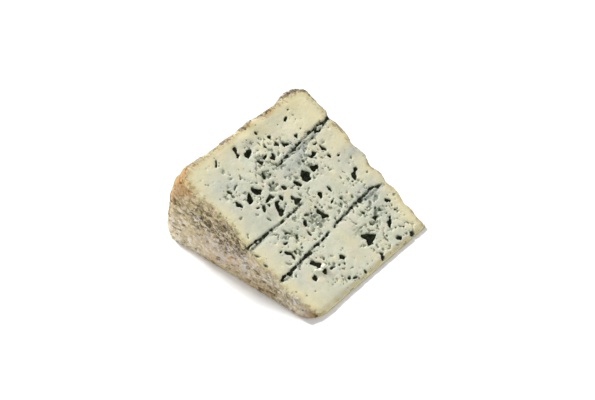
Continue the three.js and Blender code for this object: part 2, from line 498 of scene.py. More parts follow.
def modify(piece: bpy.types.Object, kind: str, **settings: object) -> None:
    """Replaces a piece's mesh by what a modifier makes of it.

    Args:
        piece: The piece.
        kind: The modifier's type.
        settings: The modifier's options.
    """
    modifier = piece.modifiers.new(kind.lower(), kind)
    for name, setting in settings.items():
        setattr(modifier, name, setting)
    bpy.context.view_layer.update()
    graph = bpy.context.evaluated_depsgraph_get()
    made = bpy.data.meshes.new_from_object(piece.evaluated_get(graph))
    old = piece.data
    piece.modifiers.clear()
    piece.data = made
    bpy.data.meshes.remove(old)


def remesh(piece: bpy.types.Object, cell: float) -> None:
    """Skins a piece with an even mesh of quads of the given size in metres."""
    modify(piece, "REMESH", mode="VOXEL", voxel_size=cell)


def shade_smooth(piece: bpy.types.Object) -> None:
    """Shades every face of a piece smooth."""
    piece.data.polygons.foreach_set("use_smooth", [True] * len(piece.data.polygons))


@dataclass
class Hollows:
    """All the pockets and channels, as one closed cutter."""

    wheel: Wheel
    seed: int = 11
    cell: float = 0.25 * MM
    pocket_wildness: float = 0.42
    thread_wildness: float = 0.7
    thread_step: float = 0.5 * MM
    thread_reach: float = 0.65 * MM
    wander: float = 0.55  # millimetres
    wander_wave: float = 3.5 * MM
    swell_wave: float = 1.6 * MM
    least_swell: float = 0.42
    # Small pockets at drawn places: the cut, how many, their least and greatest core and their
    # greatest depth in millimetres, with none where the depth suits the core.
    scattered: tuple[tuple[Cut, int, tuple[float, float], float], ...] = (
        (Cut.UPPER, 70, (0.25, 0.55), 0.0), (Cut.UPPER, 380, (0.30, 0.85), 0.46),
        (Cut.LOWER, 60, (0.7, 1.8), 0.0), (Cut.LOWER, 120, (0.40, 0.8), 0.0),
    )

    def __post_init__(self) -> None:
        """Starts the draws and an empty cutter."""
        self.rng = np.random.default_rng(self.seed)
        self.shape = bmesh.new()
        self.carrier = bpy.data.meshes.new("carrier")

    def lump(self, placing: Matrix, half: Vector, wildness: float, fineness: int,
             arms: tuple[tuple[float, float], ...] = ()) -> None:
        """Adds one rough lump.

        Args:
            placing: Where the lump goes.
            half: Its half sizes along its own axes.
            wildness: How far its surface strays, as a share of its size.
            fineness: Subdivisions of its first sphere.
            arms: Pointed arms round its Z axis, each a turn in radians and a reach.
        """
        small = bmesh.new()
        bmesh.ops.create_icosphere(small, subdivisions=fineness, radius=1.0)
        shift = Vector(self.rng.uniform(-50.0, 50.0, 3))
        for vert in small.verts:
            way = vert.co.copy()
            if arms:
                turn = math.atan2(way.y, way.x)
                spread = 1.0 + sum(reach * max(0.0, math.cos(turn - lean)) ** ARM_POINT
                                   for lean, reach in arms)
                way = Vector((way.x * spread, way.y * spread, way.z))
            vert.co = way * (1.0 + wildness * noise.fractal(way * LUMP_WAVE + shift, 0.9, 2.3, 3))
        size = Matrix.Diagonal((*half, 1.0))
        bmesh.ops.transform(small, matrix=placing @ size, verts=small.verts)
        small.to_mesh(self.carrier)
        small.free()
        self.shape.from_mesh(self.carrier)

    def open_pocket(self, cut: Cut, opening: Opening) -> None:
        """Adds the cusped gap between curds that makes one pocket.

        Args:
            cut: The cut face that lays it open.
            opening: The pocket.
        """
        core = (opening.core + POCKET_LIP) * MM
        reaches = [(reach + POCKET_LIP) * MM for _, reach in opening.arms]
        longest = max([core] + reaches)
        room = POCKET_ROOM * self.wheel.thickness(opening.share)
        depth = min(opening.depth * MM or 0.55 * core + 0.25 * longest + 0.5 * MM, room)
        face = self.wheel.placing(cut, opening.share, opening.level, 0.0)
        arms = tuple((math.radians(turn), reach / core - 1.0)
                     for (turn, _), reach in zip(opening.arms, reaches))
        self.lump(face @ Matrix.Translation((0.0, 0.0, -0.20 * depth)),
                  Vector((core, core, depth)), self.pocket_wildness,
                  2 if longest < BROAD_POCKET else 3, arms)

    def open_channel(self, cut: Cut, channel: Channel) -> None:
        """Adds a crumbly run of small lumps along a channel's thread.

        Args:
            cut: The cut face that lays it open.
            channel: The channel.
        """
        seed = self.rng.uniform(-50.0, 50.0)
        gone = 0.0
        for start, end in zip(channel.path, channel.path[1:]):
            run = self.wheel.point(*end, cut.value) - self.wheel.point(*start, cut.value)
            steps = max(1, round(run.length / self.thread_step))
            for step in range(steps):
                share = start[0] + (end[0] - start[0]) * step / steps
                level = start[1] + (end[1] - start[1]) * step / steps
                gone += run.length / steps
                stray = noise.noise(Vector((gone / self.wander_wave, seed, 0.0)))
                swell = noise.fractal(Vector((gone / self.swell_wave, seed, 9.0)), 0.7, 2.3, 2)
                width = max(self.least_swell, 1.05 + 1.3 * swell) * channel.thread
                half = 0.5 * width * MM
                face = self.wheel.placing(cut, share, level, 0.0)
                depth = 1.2 * half + self.rng.uniform(0.25, 0.75) * MM
                aside = (self.wander * stray + self.rng.uniform(-0.22, 0.22)) * MM
                placing = face @ Matrix.Translation((aside, 0.0, -0.25 * depth))
                self.lump(placing, Vector((half, self.thread_reach, depth)),
                          self.thread_wildness, 1)

    def scatter(self, cut: Cut, count: int, cores: tuple[float, float], depth: float,
                density: Callable[[np.ndarray], np.ndarray]) -> None:
        """Opens small pockets at drawn places where the density allows.

        Args:
            cut: The cut face.
            count: How many to open.
            cores: Least and greatest core in millimetres.
            depth: Greatest depth in millimetres, or none for a depth that suits the core.
            density: Chance of a pocket at each point.
        """
        opened = 0
        while opened < count:
            share, level = self.rng.uniform(0.06, 0.97), self.rng.uniform(0.03, 0.97)
            chance = self.rng.uniform()
            core = cores[0] + (cores[1] - cores[0]) * self.rng.uniform() ** 2
            sunk = depth * self.rng.uniform(0.55, 1.0)
            first, number = self.rng.uniform(0.0, 360.0), int(self.rng.integers(1, 4))
            arms = tuple((first + 360.0 * (arm + self.rng.uniform(-0.2, 0.2)) / number,
                          core * self.rng.uniform(1.3, 2.7)) for arm in range(number))
            place = np.array([self.wheel.point(share, level, cut.value)])
            if chance > density(place)[0]:
                continue
            self.open_pocket(cut, Opening(share, level, core, arms, sunk))
            opened += 1

    def build(self, density: Callable[[np.ndarray], np.ndarray]) -> bpy.types.Object:
        """Makes the cutter.

        Args:
            density: Chance of a stray pocket at each point of the upper cut.

        Returns:
            One closed mesh.
        """
        for opening in UPPER_OPENINGS:
            self.open_pocket(Cut.UPPER, opening)
        for cut, channels in CHANNELS.items():
            for channel in channels:
                self.open_channel(cut, channel)
        for pockets in self.scattered:
            self.scatter(*pockets, density)
        bpy.data.meshes.remove(self.carrier)
        cutter = object_of("hollows", self.shape)
        remesh(cutter, self.cell)
        return cutter


def rows_of(items: bpy.types.bpy_prop_collection, name: str) -> np.ndarray:
    """Reads one vector of each of a mesh's items.

    Args:
        items: The items, such as the vertices.
        name: The vector's name.

    Returns:
        One row of x, y, z for each item.
    """
    flat = np.zeros(len(items) * 3)
    items.foreach_get(name, flat)
    return flat.reshape(-1, 3)


def rough(points: np.ndarray, wave: float, octaves: int, seed: float,
          stretch: tuple[float, float, float] = (1.0, 1.0, 1.0)) -> np.ndarray:
    """Noise of about -1 to 1 over points, of waves in millimetres, stretched along each axis."""
    scaled = points / (np.array(stretch) * wave * MM) + seed
    return np.array([noise.fractal(Vector(place), 1.0, 2.0, octaves) for place in scaled])


def layered(points: np.ndarray, layers: Layers) -> np.ndarray:
    """Adds up layers of noise over points."""
    return sum(height * rough(points, *layer) for height, *layer in layers)


def grain_of(wheel: Wheel, points: np.ndarray) -> np.ndarray:
    """Unrolls points round the wheel's axis, so that X runs along the radius.

    Args:
        wheel: The wheel.
        points: One row of x, y, z in metres for each point.

    Returns:
        One row for each point.
    """
    reach = np.hypot(points[:, 0] - wheel.axis_x, points[:, 2])
    turn = np.arctan2(points[:, 2], wheel.axis_x - points[:, 0])
    return np.stack([reach, points[:, 1], GRAIN_RADIUS * turn], 1)


def channel_gap(wheel: Wheel, points: np.ndarray) -> np.ndarray:
    """Measures how far points are from the nearest channel's powdery band.

    Args:
        wheel: The wheel.
        points: One row of x, y, z in metres for each point.

    Returns:
        Millimetres for each point, up to FAR_GAP and negative inside a band.
    """
    least = np.full(len(points), FAR_GAP)
    for cut, channels in CHANNELS.items():
        for channel in channels:
            for start, end in zip(channel.path, channel.path[1:]):
                first = np.array(wheel.point(*start, cut.value))
                run = np.array(wheel.point(*end, cut.value)) - first
                along = np.clip((points - first) @ run / (run @ run), 0.0, 1.0)
                gap = np.linalg.norm(points - first - along[:, None] * run, axis=1) / MM
                least = np.minimum(least, gap - 0.5 * channel.band)
    return least


@dataclass
class Wedge:
    """The cheese wedge: body, hollows, weathering and the fields that its finish reads.

    The cells are in metres, and the depths and widths of the weathering in millimetres.
    """

    wheel: Wheel
    cell: float = 0.37 * MM
    most_triangles: int = 194_000
    spin_steps: int = 14
    round_steps: int = 6
    rind_lumps: Layers = ((0.85, 12.0, 2, 3.1), (0.50, 4.6, 1, 7.7), (0.16, 1.6, 1, 1.9))
    wrinkle_height: float = 0.24
    knife_waves: Layers = ((0.30, 24.0, 1, 9.2), (0.14, 8.0, 1, 4.4), (0.05, 2.4, 1, 6.1))
    rind_sink: float = 0.25
    pit_depth: float = 0.45
    mark_depth: float = 0.14
    band_depth: float = 0.15
    wall_roughness: float = 0.16
    edge_wear: float = 0.35
    chip_depth: float = 0.9
    worn_width: float = 2.2
    chip_width: float = 2.4
    back_swell: float = 1.9
    foot_hold: float = 0.85
    wall_depth: float = 0.45

    def body(self) -> bpy.types.Object:
        """Spins the wheel's outline through the wedge's angle.

        Returns:
            The plain closed sector.
        """
        wheel = self.wheel
        shape = bmesh.new()
        near, far = wheel.axis_x - wheel.tip_cut, wheel.axis_x - wheel.radius
        front, back = wheel.front_y, wheel.front_y + wheel.height
        places = ((near, front), (far, front), (far, back), (near, back))
        corners = [shape.verts.new((x, y, 0.0)) for x, y in places]
        shape.faces.new(corners)
        rounds = (([corners[1], corners[2]], wheel.edge_round), ([corners[0]], wheel.corner_round))
        for verts, offset in rounds:
            bmesh.ops.bevel(shape, geom=verts, offset=offset, segments=self.round_steps,
                            affect="VERTICES", profile=0.5, material=-1)
        everything = shape.verts[:] + shape.edges[:] + shape.faces[:]
        bmesh.ops.spin(shape, geom=everything, cent=(wheel.axis_x, 0.0, 0.0), axis=ALONG,
                       angle=wheel.angle, steps=self.spin_steps)
        bmesh.ops.recalc_face_normals(shape, faces=shape.faces)
        return object_of("cheese_wedge_skin", shape)

    def hollow_out(self, piece: bpy.types.Object, cutter: bpy.types.Object) -> None:
        """Cuts the pockets and channels, then skins the wedge evenly.

        Args:
            piece: The plain sector.
            cutter: The closed cutter, which is used up.
        """
        modify(piece, "BOOLEAN", operation="DIFFERENCE", solver="MANIFOLD", object=cutter)
        bpy.data.objects.remove(cutter)
        remesh(piece, self.cell)
        self.drop_islands(piece)

    def drop_islands(self, piece: bpy.types.Object) -> None:
        """Keeps only the largest closed body of a mesh.

        Args:
            piece: The piece that holds the mesh.
        """
        shape = bmesh.new()
        shape.from_mesh(piece.data)
        shape.verts.ensure_lookup_table()
        left = set(shape.verts)
        islands = []
        while left:
            todo = [left.pop()]
            island = set(todo)
            while todo:
                for edge in todo.pop().link_edges:
                    for vert in edge.verts:
                        if vert in left:
                            left.remove(vert)
                            island.add(vert)
                            todo.append(vert)
            islands.append(island)
        islands.sort(key=len)
        for island in islands[:-1]:
            bmesh.ops.delete(shape, geom=list(island), context="VERTS")
        shape.to_mesh(piece.data)
        shape.free()

    def weather(self, piece: bpy.types.Object) -> None:
        """Moves the smooth surface in and out: rind lumps, dents, knife waves and crumbly edges.

        The depths and gaps measured before the move are kept as fields for the finish.

        Args:
            piece: The hollowed wedge.
        """
        wheel, mesh = self.wheel, piece.data
        points, ways = rows_of(mesh.vertices, "co"), rows_of(mesh.vertex_normals, "vector")
        depths = Depths.of(wheel, points)
        hollow = np.maximum(depths.least(), 0.0)
        vein = channel_gap(wheel, points)
        pore = self.pore_gap(points, hollow, vein)
        skin = 1.0 - smooth(0.3, 1.3, depths.rind)
        inside = smooth(0.3, 1.0, hollow)
        face = (1.0 - skin) * (1.0 - inside)
        by_cut = np.exp(-((depths.upper / 3.5) ** 2))
        zones = self.zones(points, depths)
        # Pits gather where the dark zone is strong, so on the rim and the back face their brown
        # carries some of its painted shade.
        pits = smooth(0.16, 0.42, rough(points, 2.3, 2, 41.3, (1.7, 1.0, 1.0))
                      + 0.30 * (zones["dark"] - 0.6)) * skin
        marks = smooth(0.24, 0.36, rough(points, 2.1, 2, 57.9)
                       + 0.50 * (zones["speck"] - 0.82)) * face
        bare = 1.5 * rough(points, 7.0, 2, 73.1) + patchwork(wheel, points, BARE_PATCHES)
        fields = {"rind": depths.rind + bare * by_cut, "hollow": hollow, "vein": vein,
                  "pore": pore, "pit": pits, "mark": marks, "tip": depths.tip}
        for name, values in (fields | zones).items():
            layer = mesh.attributes.new(name, "FLOAT", "POINT")
            layer.data.foreach_set("value", values.astype(np.float32))

        lumps = layered(points, self.rind_lumps) + patchwork(wheel, points, BULGE_PATCHES)
        wrinkles = self.wrinkle_height * rough(grain_of(wheel, points), 1.6, 1, 5.3,
                                               (3.2, 1.0, 1.0))
        relief = layered(points, self.knife_waves) + patchwork(wheel, points, RELIEF_PATCHES)
        band = 1.0 - smooth(-0.3, 0.6, vein)
        crumble = (1.0 - smooth(0.2, 1.2, pore)) * 0.10 + band * 0.30
        edge_gap = np.sort(np.stack([depths.rind, depths.upper, depths.lower, depths.tip]), 0)[1]
        worn = self.edge_wear * (1.0 - smooth(0.0, self.worn_width, edge_gap))
        chips = ((1.0 - smooth(0.0, self.chip_width, edge_gap))
                 * np.maximum(rough(points, 3.4, 2, 8.8), 0.0))
        push = (skin * (lumps + wrinkles - self.rind_sink - self.pit_depth * pits)
                + face * (relief - self.mark_depth * marks - self.band_depth * band)
                + (1.0 - inside) * crumble * rough(points, 1.1, 1, 2.2)
                + inside * self.wall_roughness * rough(points, 1.2, 1, 0.7)
                - worn - self.chip_depth * chips)
        # By the lower cut the surface hardly moves, so that the wedge stands flat.
        settled = 1.0 - self.foot_hold * (1.0 - smooth(0.0, 1.5, depths.lower))
        moved = points + ways * (push * settled * MM)[:, None]
        moved[:, 1] -= self.dents(points, depths) * MM
        moved[:, 2] = np.maximum(moved[:, 2], 0.0)
        mesh.vertices.foreach_set("co", moved.ravel())
        mesh.update()

    def thin_out(self, piece: bpy.types.Object) -> None:
        """Merges the flattest triangles until no more than most_triangles are left.

        Args:
            piece: The weathered wedge, still all quads.
        """
        triangles = 2 * len(piece.data.polygons)
        modify(piece, "DECIMATE", ratio=min(1.0, self.most_triangles / triangles))
        piece.data.materials.clear()
        shade_smooth(piece)

    def dents(self, points: np.ndarray, depths: Depths) -> np.ndarray:
        """Scallops the back rind's upper edge.

        Args:
            points: The vertices.
            depths: Their depths.

        Returns:
            How far each is pushed in, in millimetres.
        """
        wheel = self.wheel
        share = np.hypot(points[:, 0] - wheel.axis_x, points[:, 2]) / wheel.radius
        total = np.zeros(len(points))
        for place, depth, width in BACK_DENTS:
            gap = (share - place) * wheel.radius / MM
            total += depth * np.exp(-((gap / width) ** 2))
        near_top = np.exp(-((depths.upper / 13.0) ** 2))
        behind = (1.0 - smooth(0.0, 7.0, depths.rind)) * smooth(0.8, 0.95, depths.level)
        swell = self.back_swell * smooth(0.05, 0.3, share) * (1.0 - smooth(0.9, 1.0, share))
        return (total - swell) * near_top * behind

    def pore_gap(self, points: np.ndarray, hollow: np.ndarray, vein: np.ndarray) -> np.ndarray:
        """Distance in millimetres from each point to the nearest pocket wall.

        Args:
            points: The vertices.
            hollow: Depth of each under the nearest face.
            vein: Distance of each from the nearest channel.

        Returns:
            The distances, up to FAR_GAP.
        """
        walls = np.flatnonzero((hollow > self.wall_depth) & (vein > 0.8))
        tree = kdtree.KDTree(len(walls))
        for index in walls:
            tree.insert(points[index], int(index))
        tree.balance()
        gaps = np.array([tree.find(place)[2] for place in points]) / MM
        return np.minimum(gaps, FAR_GAP)

    def zones(self, points: np.ndarray, depths: Depths) -> dict[str, np.ndarray]:
        """Works out where each quality of the paste and the rind is strong.

        Args:
            points: The vertices.
            depths: Their depths.

        Returns:
            Values of about 0 to 1 for each quality.
        """
        broad = 0.5 + 0.5 * rough(points, 19.0, 2, 12.6)
        other = 0.5 + 0.5 * rough(points, 15.0, 2, 31.4)
        everywhere = {
            "ripe": 0.8 * (1.0 - smooth(1.0, 11.0, depths.rind + 5.0 * (broad - 0.5))),
            "bloom": 0.35 * smooth(0.55, 0.9, other), "speck": spread_of_specks(points, depths),
            "rust": 0.35 * smooth(0.5, 0.9, broad), "dark": 0.35 * smooth(0.4, 0.8, other),
            "pale": 0.4 * smooth(0.5, 0.85, 1.0 - broad),
        }
        return {name: np.clip(everywhere.get(name, 0.0) + patchwork(self.wheel, points, spots),
                              0.0, 1.0) for name, spots in ZONES.items()}


def spread_of_specks(points: np.ndarray, depths: Depths) -> np.ndarray:
    """How thickly mould specks stand at each point where no patch adds or clears any."""
    clusters = smooth(-0.35, 0.45, rough(points, 9.0, 2, 21.5))
    return smooth(2.0, 12.0, depths.rind) * (0.08 + 0.45 * clusters)


def speck_density(wheel: Wheel, points: np.ndarray) -> np.ndarray:
    """How thickly mould specks and stray pockets stand at each point."""
    spread = spread_of_specks(points, Depths.of(wheel, points))
    return spread + patchwork(wheel, points, ZONES["speck"])


class Graph:
    """A thin hand for laying shader nodes in one tree."""

    def __init__(self, tree: bpy.types.NodeTree) -> None:
        """Takes the tree to build in."""
        self.tree = tree

    def feed(self, socket: bpy.types.NodeSocket, value: Feed) -> None:
        """Feeds a node's input.

        Args:
            socket: The input.
            value: An output to link to it, or a plain value to set.
        """
        if isinstance(value, bpy.types.NodeSocket):
            self.tree.links.new(value, socket)
        else:
            socket.default_value = value

    def node(self, kind: str, values: dict[int | str, Feed] | None = None,
             **settings: object) -> bpy.types.bpy_prop_collection:
        """Adds a node.

        Args:
            kind: Its type, without the words that start every shader node's.
            values: What feeds each input, by the input's name or place.
            settings: Its options.

        Returns:
            Its outputs.
        """
        node = self.tree.nodes.new("ShaderNode" + kind)
        for name, setting in settings.items():
            setattr(node, name, setting)
        for key, value in (values or {}).items():
            self.feed(node.inputs[key], value)
        return node.outputs

    def math(self, operation: str, *values: Feed) -> bpy.types.NodeSocket:
        """A Math node's result."""
        return self.node("Math", dict(enumerate(values)), operation=operation)[0]

    def vector(self, operation: str, *values: Feed) -> bpy.types.NodeSocket:
        """A Vector Math node's result."""
        return self.node("VectorMath", dict(enumerate(values)), operation=operation)[0]

    def times(self, first: Feed, second: Feed) -> bpy.types.NodeSocket:
        """One value times another."""
        return self.math("MULTIPLY", first, second)

    def step(self, *values: Feed) -> bpy.types.NodeSocket:
        """A soft step of a value from 0 at low to 1 at high, or between two other ends."""
        return self.node("MapRange", dict(enumerate(values)), interpolation_type="SMOOTHSTEP")[0]

    def blend(self, share: Feed, first: Feed, second: Feed) -> bpy.types.NodeSocket:
        """A colour between two colours."""
        return self.node("Mix", {0: share, 6: first, 7: second}, data_type="RGBA")[2]

    def between(self, share: Feed, first: Feed, second: Feed) -> bpy.types.NodeSocket:
        """A number between two numbers."""
        return self.node("Mix", {0: share, 2: first, 3: second})[0]

    def use(self, group: bpy.types.NodeTree, **inputs: Feed) -> bpy.types.bpy_prop_collection:
        """Places a node group and feeds its inputs by name."""
        return self.node("Group", inputs, node_tree=group)

    def fields(self, *names: str) -> dict[str, bpy.types.NodeSocket]:
        """Values that the mesh holds at its vertices, for group inputs of the same names."""
        return {name: self.node("Attribute", attribute_name=name.lower())["Fac"]
                for name in names}

    def coats(self, colour: Feed, *coats: tuple[Feed, ...]) -> Feed:
        """Lays colours one over another.

        Args:
            colour: The ground.
            coats: Each coat's colour and mask, and perhaps a strength for the mask.

        Returns:
            The colour with all coats on.
        """
        for tint, mask, *strength in coats:
            colour = self.blend(self.times(mask, *strength) if strength else mask, colour, tint)
        return colour

    def relief(self, *parts: tuple[Feed, float]) -> Feed:
        """Adds up masks.

        Args:
            parts: Each mask and its height in millimetres.

        Returns:
            The height.
        """
        height = 0.0
        for mask, rise in parts:
            height = self.math("MULTIPLY_ADD", mask, rise, height)
        return height


LOOK = {"Color": "Color", "Roughness": "Float", "Height": "Float"}


class Group:
    """A shader node group under construction, with its named inputs and outputs."""

    def __init__(self, name: str, inputs: dict[str, float | str], outputs: dict[str, str]) -> None:
        """Makes the group and its sockets.

        Args:
            name: The group's name.
            inputs: Each input's default number, or Vector for a place.
            outputs: Each output's kind, Float or Color.
        """
        self.tree = bpy.data.node_groups.new(name, "ShaderNodeTree")
        sockets = self.tree.interface
        for label, default in inputs.items():
            kind = default if isinstance(default, str) else "Float"
            socket = sockets.new_socket(label, in_out="INPUT", socket_type="NodeSocket" + kind)
            if kind == "Float":
                socket.default_value = default
        for label, kind in outputs.items():
            sockets.new_socket(label, in_out="OUTPUT", socket_type="NodeSocket" + kind)
        self.graph = Graph(self.tree)
        self.inputs = self.tree.nodes.new("NodeGroupInput").outputs
        self.outputs = self.tree.nodes.new("NodeGroupOutput").inputs

    def give(self, **results: Feed) -> bpy.types.NodeTree:
        """Ends the group.

        Args:
            results: What feeds each output.

        Returns:
            The finished tree.
        """
        for name, value in results.items():
            self.graph.feed(self.outputs[name], value)
        return self.tree


def mottle_group() -> bpy.types.NodeTree:
    """Soft uneven clouds of a given size in millimetres, cut between a low and a high level.

    Returns:
        A group that gives a mask.
    """
    group = Group("mottle", {"Position": "Vector", "Size": 3.0, "Detail": 2.0, "Low": 0.4,
                             "High": 0.6, "Shift": 0.0}, {"Mask": "Float"})
    graph, given = group.graph, group.inputs
    shift = graph.node("CombineXYZ", {"X": given["Shift"], "Y": given["Shift"]})[0]
    cloud = graph.node("TexNoise", {
        "Vector": graph.vector("ADD", given["Position"], shift), "Detail": given["Detail"],
        "Scale": graph.math("DIVIDE", 1.0 / MM, given["Size"])})
    return group.give(Mask=graph.step(cloud["Fac"], given["Low"], given["High"]))


def flecks_group() -> bpy.types.NodeTree:
    """Scattered cusped flecks of a given size in millimetres, of which a share is filled.

    Returns:
        A group that gives a mask.
    """
    group = Group("flecks", {"Position": "Vector", "Size": 2.0, "Fill": 0.5, "Radius": 0.35,
                             "Ragged": 0.5, "Turn": 0.0}, {"Mask": "Float"})
    graph, given = group.graph, group.inputs
    scale = graph.math("DIVIDE", 1.0 / MM, given["Size"])
    turned = graph.node("VectorRotate", {"Vector": given["Position"], "Axis": (0.5, 0.3, 0.8),
                                         "Angle": given["Turn"]})[0]
    warp = graph.node("TexNoise", {"Vector": given["Position"], "Detail": 1.0,
                                   "Scale": graph.times(scale, 1.4)})
    centred = graph.vector("SUBTRACT", warp["Color"], (0.5, 0.5, 0.5))
    reach = graph.times(given["Ragged"], graph.times(given["Size"], 2 * MM))
    shift = graph.node("VectorMath", {0: centred, "Scale": reach}, operation="SCALE")[0]
    squeezed = graph.vector("MULTIPLY", turned, (1.0, 0.55, 1.0))
    cells = graph.node("TexVoronoi", {"Vector": graph.vector("ADD", squeezed, shift),
                                      "Scale": scale, "Exponent": 0.75}, distance="MINKOWSKI")
    lot = graph.node("SeparateColor", {"Color": cells["Color"]})
    radius = graph.times(given["Radius"], graph.math("ADD", 0.45, lot["Green"]))
    spot = graph.step(cells["Distance"], radius, graph.times(radius, 0.55))
    drawn = graph.math("LESS_THAN", lot["Red"], given["Fill"])
    return group.give(Mask=graph.times(spot, drawn))


def streaks_group() -> bpy.types.NodeTree:
    """Long thin marks that run along the X axis, of a given width in millimetres.

    Returns:
        A group that gives a mask.
    """
    group = Group("streaks", {"Position": "Vector", "Width": 0.8, "Run": 6.0, "Low": 0.5,
                              "High": 0.65}, {"Mask": "Float"})
    graph, given = group.graph, group.inputs
    squeeze = graph.node("CombineXYZ", {"X": graph.math("DIVIDE", 1.0, given["Run"]),
                                        "Y": 1.0, "Z": 1.0})[0]
    lines = graph.node("TexNoise", {
        "Vector": graph.vector("MULTIPLY", given["Position"], squeeze), "Detail": 2.0,
        "Distortion": 1.1, "Scale": graph.math("DIVIDE", 1.0 / MM, given["Width"])})
    return group.give(Mask=graph.step(lines["Fac"], given["Low"], given["High"]))


@dataclass(frozen=True)
class Effects:
    """The node groups that the finishes share."""

    mottle: bpy.types.NodeTree
    flecks: bpy.types.NodeTree
    streaks: bpy.types.NodeTree

    @classmethod
    def build(cls) -> "Effects":
        """Builds each shared group once."""
        return cls(mottle_group(), flecks_group(), streaks_group())


@dataclass(frozen=True)
class Brush:
    """The shared effects, ready to place in one finish's group."""

    effects: Effects
    group: Group

    def mottle(self, size: float, low: float, high: float, **more: float) -> Feed:
        """Places clouds."""
        return self.group.graph.use(self.effects.mottle, Position=self.group.inputs["Position"],
                                    Size=size, Low=low, High=high, **more)[0]

    def flecks(self, size: float, fill: Feed, radius: float, turn: float) -> Feed:
        """Places ragged flecks."""
        return self.group.graph.use(self.effects.flecks, Position=self.group.inputs["Position"],
                                    Size=size, Fill=fill, Radius=radius, Ragged=1.1, Turn=turn)[0]

    def streaks(self, width: float, run: float, low: float, high: float) -> Feed:
        """Places streaks along the grain."""
        return self.group.graph.use(self.effects.streaks, Position=self.group.inputs["Grain"],
                                    Width=width, Run=run, Low=low, High=high)[0]


@dataclass(frozen=True)
class PasteFinish:
    """The moist cut paste: pale core, riper cream by the rind, mould haze, smears and marks."""

    core: Feed = srgb(229, 230, 208)
    dim: Feed = srgb(205, 208, 184)
    cream: Feed = srgb(238, 228, 185)
    blush: Feed = srgb(226, 217, 198)
    butter: Feed = srgb(214, 200, 146)
    haze: Feed = srgb(184, 192, 193)
    smear: Feed = srgb(104, 116, 98)
    fringe: Feed = srgb(140, 150, 128)
    crumb: Feed = srgb(104, 112, 98)
    powder: Feed = srgb(190, 195, 184)
    soft_mark: Feed = srgb(150, 158, 134)
    dark_mark: Feed = srgb(52, 60, 42)
    olive_dot: Feed = srgb(126, 112, 72)
    tan: Feed = srgb(206, 176, 118)

    def group(self, effects: Effects) -> bpy.types.NodeTree:
        """Builds the finish.

        Args:
            effects: The shared groups.

        Returns:
            A group that gives colour, roughness and height in millimetres.
        """
        group = Group("paste look", {
            "Position": "Vector", "Rind": FAR_GAP, "Pore": FAR_GAP, "Vein": FAR_GAP,
            "Tip": FAR_GAP, "Ripe": 0.0, "Bloom": 0.0, "Smear": 0.0, "Speck": 0.0, "Mark": 0.0,
            "Rust": 0.0,
        }, LOOK)
        graph, given, brush = group.graph, group.inputs, Brush(effects, group)
        times, between, step = graph.times, graph.between, graph.step
        wide, middle = brush.mottle(9.0, 0.3, 0.7), brush.mottle(3.2, 0.35, 0.65)
        fine = brush.mottle(1.0, 0.3, 0.7)
        smear = times(given["Smear"], between(fine, 0.15, 1.0))
        colour = graph.coats(
            self.core, (self.dim, wide, 0.70), (self.dim, fine, 0.35),
            (self.blush, brush.mottle(6.0, 0.50, 0.66, Shift=0.7), 0.55),
            (self.cream, brush.mottle(7.0, 0.52, 0.66, Shift=1.9), 0.35),
            (self.cream, given["Ripe"], between(middle, 0.75, 1.0)),
            (self.butter, step(given["Rind"], 4.5, 0.8), between(middle, 0.25, 1.0)),
            (self.butter, step(given["Tip"], 2.6, 0.3), between(middle, 0.35, 0.95)),
            (self.tan, times(given["Rust"], step(given["Rind"], 5.5, 0.6)),
             between(middle, 0.3, 0.9)),
            (self.haze, given["Bloom"], between(middle, 0.35, 0.95)), (self.smear, smear))

        # Mould marks: flecks that thicken with the speck field and beside pockets.
        thick = graph.math("POWER", given["Speck"], 1.5)
        beside = step(given["Pore"], 2.4, 0.4)
        slim = brush.flecks(1.7, times(thick, 0.80), 0.42, 1.9)
        dark = brush.flecks(2.2, graph.math("MULTIPLY_ADD", beside, 0.15, times(thick, 0.42)),
                            0.34, 2.8)
        tiny = brush.flecks(1.3, graph.math("MULTIPLY_ADD", beside, 0.32, graph.math(
            "MULTIPLY_ADD", thick, 0.30, 0.01)), 0.34, 0.9)
        shown = times(given["Mark"], between(fine, 1.0, 0.55))
        core = times(step(given["Mark"], 0.55, 1.0), between(fine, 0.15, 1.0))
        stain = times(step(given["Rind"], 4.2, 1.0), brush.mottle(2.0, 0.52, 0.64, Shift=4.4))
        dots = brush.flecks(1.5, step(given["Rind"], 6.5, 1.2, 0.04, 0.75), 0.36, 0.2)
        band = step(graph.math("MULTIPLY_ADD", fine, 0.8, given["Vein"]), 0.90, 0.20)
        colour = graph.coats(
            colour, (self.soft_mark, brush.flecks(2.9, times(thick, 0.95), 0.40, 0.4), 0.55),
            (self.soft_mark, slim, 0.65), (self.soft_mark, shown, 0.85),
            (self.dark_mark, core, 0.75), (self.dark_mark, tiny, 0.60),
            (self.dark_mark, dark, 0.85), (self.olive_dot, stain, 0.55),
            (self.olive_dot, dots, 0.55),
            (self.fringe, step(given["Pore"], 1.0, 0.1), between(fine, 0.25, 0.80)),
            (graph.blend(between(fine, 0.20, 1.0), self.powder, self.crumb), band, 0.75))
        height = graph.relief((middle, 0.05), (fine, 0.035), (slim, -0.05), (dark, -0.25),
                              (times(band, fine), 0.15))
        roughness = between(graph.math("MAXIMUM", band, smear), 0.50, 0.80)
        roughness = graph.math("MULTIPLY_ADD", wide, 0.10, roughness)
        return group.give(Color=colour, Roughness=roughness, Height=height)


